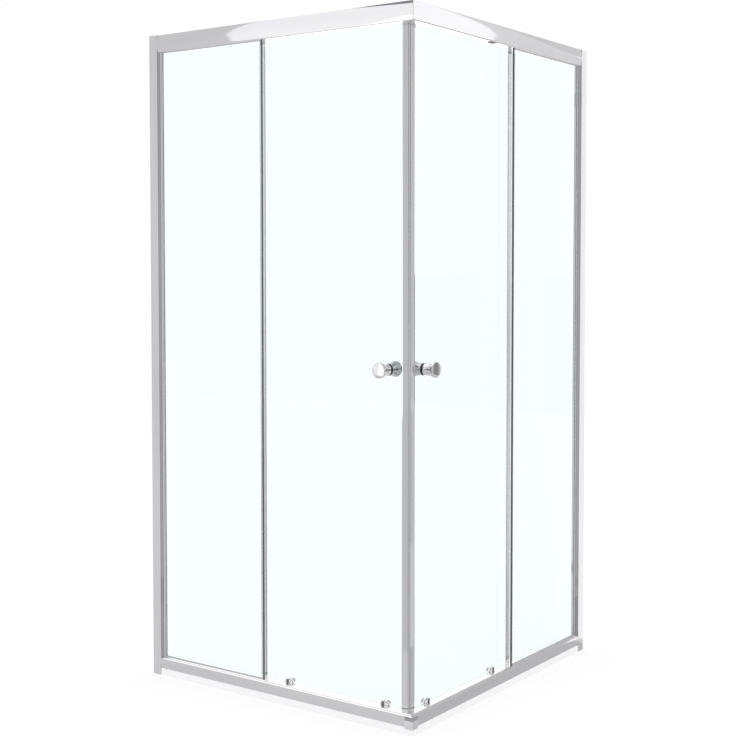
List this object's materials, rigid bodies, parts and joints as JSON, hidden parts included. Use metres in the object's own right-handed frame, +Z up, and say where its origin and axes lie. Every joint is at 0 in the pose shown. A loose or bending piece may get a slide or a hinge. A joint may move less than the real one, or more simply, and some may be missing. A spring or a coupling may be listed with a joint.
{
  "type": "corner-entry shower enclosure",
  "caption": "Square corner-entry shower enclosure: fixed glass panes at the walls and sliding glass doors that meet at the front corner, in a polished aluminium frame.",
  "frame": {"origin": "middle of the enclosure's footprint, on the floor", "axes": "+Z up; the front corner points to +X and -Y; the left leg lies along X on the -Y side and the right leg along Y on the +X side"},
  "size_m": [0.9012, 0.9012, 1.8],
  "materials": {
    "polished_aluminium": "polished, bright anodised",
    "clear_glass": "clear toughened glass",
    "chrome": "mirror chrome plating",
    "stainless_steel": "turned",
    "white_nylon": "moulded",
    "clear_grey_plastic": "translucent, extruded or moulded",
    "white_pvc": "extruded",
    "grey_plastic": "moulded",
    "dark_rubber": "matt"
  },
  "bodies": {
    "frame": {"bottom_rail_left": "polished_aluminium", "bottom_rail_right": "polished_aluminium", "corner_cap": "chrome", "corner_connectors": "grey_plastic", "corner_set_screws": "stainless_steel", "door_stops": "dark_rubber", "fixed_glass_left": "clear_glass", "fixed_glass_right": "clear_glass", "frame_screws": "stainless_steel", "glazing_gasket_left": "dark_rubber", "glazing_gasket_right": "dark_rubber", "groove_fillers_left": "polished_aluminium", "groove_fillers_right": "polished_aluminium", "rail_end_blocks": "grey_plastic", "sill_left": "white_pvc", "sill_right": "white_pvc", "stile_left": "polished_aluminium", "stile_right": "polished_aluminium", "top_rail_left": "polished_aluminium", "top_rail_right": "polished_aluminium", "wall_channel_left": "polished_aluminium", "wall_channel_right": "polished_aluminium"},
    "door_left": {"bracket_screws_left": "stainless_steel", "brackets_left": "clear_grey_plastic", "door_glass_left": "clear_glass", "hanger_nuts_left": "chrome", "hangers_left": "stainless_steel", "inner_knob_left": "chrome", "knob_bushes_left": "dark_rubber", "lead_profile_left": "polished_aluminium", "magnet_strip_left": "dark_rubber", "outer_knob_left": "chrome", "release_springs_left": "stainless_steel", "splash_fin_left": "clear_grey_plastic", "tail_profile_left": "polished_aluminium"},
    "door_right": {"bracket_screws_right": "stainless_steel", "brackets_right": "clear_grey_plastic", "door_glass_right": "clear_glass", "hanger_nuts_right": "chrome", "hangers_right": "stainless_steel", "inner_knob_right": "chrome", "knob_bushes_right": "dark_rubber", "lead_profile_right": "polished_aluminium", "magnet_strip_right": "dark_rubber", "outer_knob_right": "chrome", "release_springs_right": "stainless_steel", "splash_fin_right": "clear_grey_plastic", "tail_profile_right": "polished_aluminium"},
    "bottom_wheel_lead_left": {"bottom_wheel_lead_left": "white_nylon"},
    "bottom_wheel_lead_right": {"bottom_wheel_lead_right": "white_nylon"},
    "bottom_wheel_tail_left": {"bottom_wheel_tail_left": "white_nylon"},
    "bottom_wheel_tail_right": {"bottom_wheel_tail_right": "white_nylon"},
    "carrier_lead_left": {"carrier_lead_left": "grey_plastic"},
    "carrier_lead_right": {"carrier_lead_right": "grey_plastic"},
    "carrier_tail_left": {"carrier_tail_left": "grey_plastic"},
    "carrier_tail_right": {"carrier_tail_right": "grey_plastic"},
    "top_wheel_lead_left": {"top_wheel_lead_left": "white_nylon"},
    "top_wheel_lead_right": {"top_wheel_lead_right": "white_nylon"},
    "top_wheel_tail_left": {"top_wheel_tail_left": "white_nylon"},
    "top_wheel_tail_right": {"top_wheel_tail_right": "white_nylon"}
  },
  "joints": [
    {"name": "door_left_slide", "type": "slide", "parent": "frame", "child": "door_left", "axis": [-1, 0, 0], "range_m": [0, 0.35]},
    {"name": "top_wheel_lead_left_spin", "type": "hinge", "parent": "door_left", "child": "top_wheel_lead_left", "pos_m": [0.3394, -0.42265, 1.7667], "axis": [0, 1, 0], "continuous": true},
    {"name": "carrier_lead_left_release", "type": "slide", "parent": "door_left", "child": "carrier_lead_left", "axis": [0, 0, -1], "range_m": [0, 0.004], "stiffness_N_per_m": 400, "springref_m": -0.005, "deforming": ["release_springs_left"]},
    {"name": "bottom_wheel_lead_left_spin", "type": "hinge", "parent": "carrier_lead_left", "child": "bottom_wheel_lead_left", "pos_m": [0.3394, -0.42265, 0.0403], "axis": [0, 1, 0], "continuous": true},
    {"name": "top_wheel_tail_left_spin", "type": "hinge", "parent": "door_left", "child": "top_wheel_tail_left", "pos_m": [0.0254, -0.42265, 1.7667], "axis": [0, 1, 0], "continuous": true},
    {"name": "carrier_tail_left_release", "type": "slide", "parent": "door_left", "child": "carrier_tail_left", "axis": [0, 0, -1], "range_m": [0, 0.004], "stiffness_N_per_m": 400, "springref_m": -0.005, "deforming": ["release_springs_left"]},
    {"name": "bottom_wheel_tail_left_spin", "type": "hinge", "parent": "carrier_tail_left", "child": "bottom_wheel_tail_left", "pos_m": [0.0254, -0.42265, 0.0403], "axis": [0, 1, 0], "continuous": true},
    {"name": "door_right_slide", "type": "slide", "parent": "frame", "child": "door_right", "axis": [0, 1, 0], "range_m": [0, 0.35]},
    {"name": "top_wheel_lead_right_spin", "type": "hinge", "parent": "door_right", "child": "top_wheel_lead_right", "pos_m": [0.42265, -0.3394, 1.7667], "axis": [1, 0, 0], "continuous": true},
    {"name": "carrier_lead_right_release", "type": "slide", "parent": "door_right", "child": "carrier_lead_right", "axis": [0, 0, -1], "range_m": [0, 0.004], "stiffness_N_per_m": 400, "springref_m": -0.005, "deforming": ["release_springs_right"]},
    {"name": "bottom_wheel_lead_right_spin", "type": "hinge", "parent": "carrier_lead_right", "child": "bottom_wheel_lead_right", "pos_m": [0.42265, -0.3394, 0.0403], "axis": [1, 0, 0], "continuous": true},
    {"name": "top_wheel_tail_right_spin", "type": "hinge", "parent": "door_right", "child": "top_wheel_tail_right", "pos_m": [0.42265, -0.0254, 1.7667], "axis": [1, 0, 0], "continuous": true},
    {"name": "carrier_tail_right_release", "type": "slide", "parent": "door_right", "child": "carrier_tail_right", "axis": [0, 0, -1], "range_m": [0, 0.004], "stiffness_N_per_m": 400, "springref_m": -0.005, "deforming": ["release_springs_right"]},
    {"name": "bottom_wheel_tail_right_spin", "type": "hinge", "parent": "carrier_tail_right", "child": "bottom_wheel_tail_right", "pos_m": [0.42265, -0.0254, 0.0403], "axis": [1, 0, 0], "continuous": true}
  ],
  "couplings": [
    {"joint": "top_wheel_lead_left_spin", "follows": "door_left_slide", "rad_per_m": -111.11},
    {"joint": "bottom_wheel_lead_left_spin", "follows": "door_left_slide", "rad_per_m": 166.67},
    {"joint": "top_wheel_tail_left_spin", "follows": "door_left_slide", "rad_per_m": -111.11},
    {"joint": "bottom_wheel_tail_left_spin", "follows": "door_left_slide", "rad_per_m": 166.67},
    {"joint": "top_wheel_lead_right_spin", "follows": "door_right_slide", "rad_per_m": -111.11},
    {"joint": "bottom_wheel_lead_right_spin", "follows": "door_right_slide", "rad_per_m": 166.67},
    {"joint": "top_wheel_tail_right_spin", "follows": "door_right_slide", "rad_per_m": -111.11},
    {"joint": "bottom_wheel_tail_right_spin", "follows": "door_right_slide", "rad_per_m": 166.67}
  ]
}
